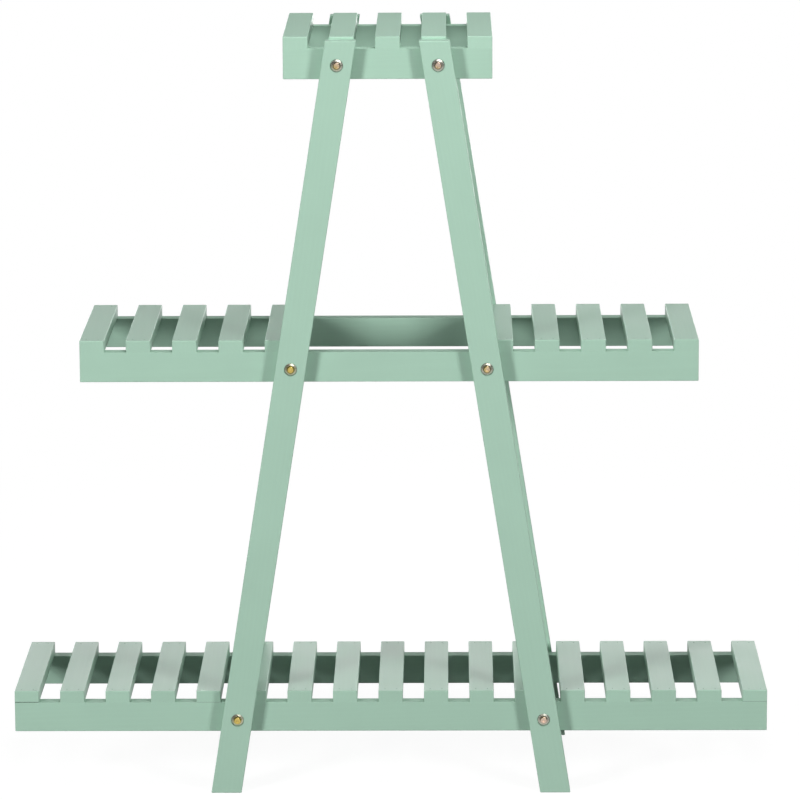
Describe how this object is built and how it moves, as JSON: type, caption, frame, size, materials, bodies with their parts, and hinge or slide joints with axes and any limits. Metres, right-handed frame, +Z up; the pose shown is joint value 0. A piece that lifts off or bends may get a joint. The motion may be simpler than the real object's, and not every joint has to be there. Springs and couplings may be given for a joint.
{
  "type": "plant stand",
  "caption": "A-frame plant stand with slatted shelves of growing length bolted between front and rear legs, the middle shelf open in its centre for a tall plant.",
  "frame": {"origin": "on the floor, under the middle of the stand", "axes": "+Z up, +X to the right along the shelves, -Y to the front"},
  "size_m": [0.96, 0.2894, 0.968],
  "materials": {
    "painted_wood": "satin sage green paint",
    "yellow_zinc_bolt": "yellow passivated zinc plate",
    "zinc_washer": "bright zinc plate",
    "zinc_insert_nut": "bright zinc",
    "brad_steel": "bare steel, painted over at the head"
  },
  "bodies": {
    "root": {"bottom_front_rail": "painted_wood", "bottom_rear_rail": "painted_wood", "bottom_shelf_bolts": "yellow_zinc_bolt", "bottom_shelf_brads": "brad_steel", "bottom_shelf_insert_nuts": "zinc_insert_nut", "bottom_shelf_washers": "zinc_washer", "bottom_slat_01": "painted_wood", "bottom_slat_02": "painted_wood", "bottom_slat_03": "painted_wood", "bottom_slat_04": "painted_wood", "bottom_slat_05": "painted_wood", "bottom_slat_06": "painted_wood", "bottom_slat_07": "painted_wood", "bottom_slat_08": "painted_wood", "bottom_slat_09": "painted_wood", "bottom_slat_10": "painted_wood", "bottom_slat_11": "painted_wood", "bottom_slat_12": "painted_wood", "bottom_slat_13": "painted_wood", "bottom_slat_14": "painted_wood", "bottom_slat_15": "painted_wood", "bottom_slat_16": "painted_wood", "bottom_slat_17": "painted_wood", "front_left_leg": "painted_wood", "front_right_leg": "painted_wood", "middle_front_rail": "painted_wood", "middle_left_slat_01": "painted_wood", "middle_left_slat_02": "painted_wood", "middle_left_slat_03": "painted_wood", "middle_left_slat_04": "painted_wood", "middle_left_slat_05": "painted_wood", "middle_rear_rail": "painted_wood", "middle_right_slat_01": "painted_wood", "middle_right_slat_02": "painted_wood", "middle_right_slat_03": "painted_wood", "middle_right_slat_04": "painted_wood", "middle_right_slat_05": "painted_wood", "middle_shelf_bolts": "yellow_zinc_bolt", "middle_shelf_brads": "brad_steel", "middle_shelf_insert_nuts": "zinc_insert_nut", "middle_shelf_washers": "zinc_washer", "rear_left_leg": "painted_wood", "rear_right_leg": "painted_wood", "top_front_rail": "painted_wood", "top_rear_rail": "painted_wood", "top_shelf_bolts": "yellow_zinc_bolt", "top_shelf_brads": "brad_steel", "top_shelf_insert_nuts": "zinc_insert_nut", "top_shelf_washers": "zinc_washer", "top_slat_01": "painted_wood", "top_slat_02": "painted_wood", "top_slat_03": "painted_wood", "top_slat_04": "painted_wood", "top_slat_05": "painted_wood"}
  },
  "joints": []
}
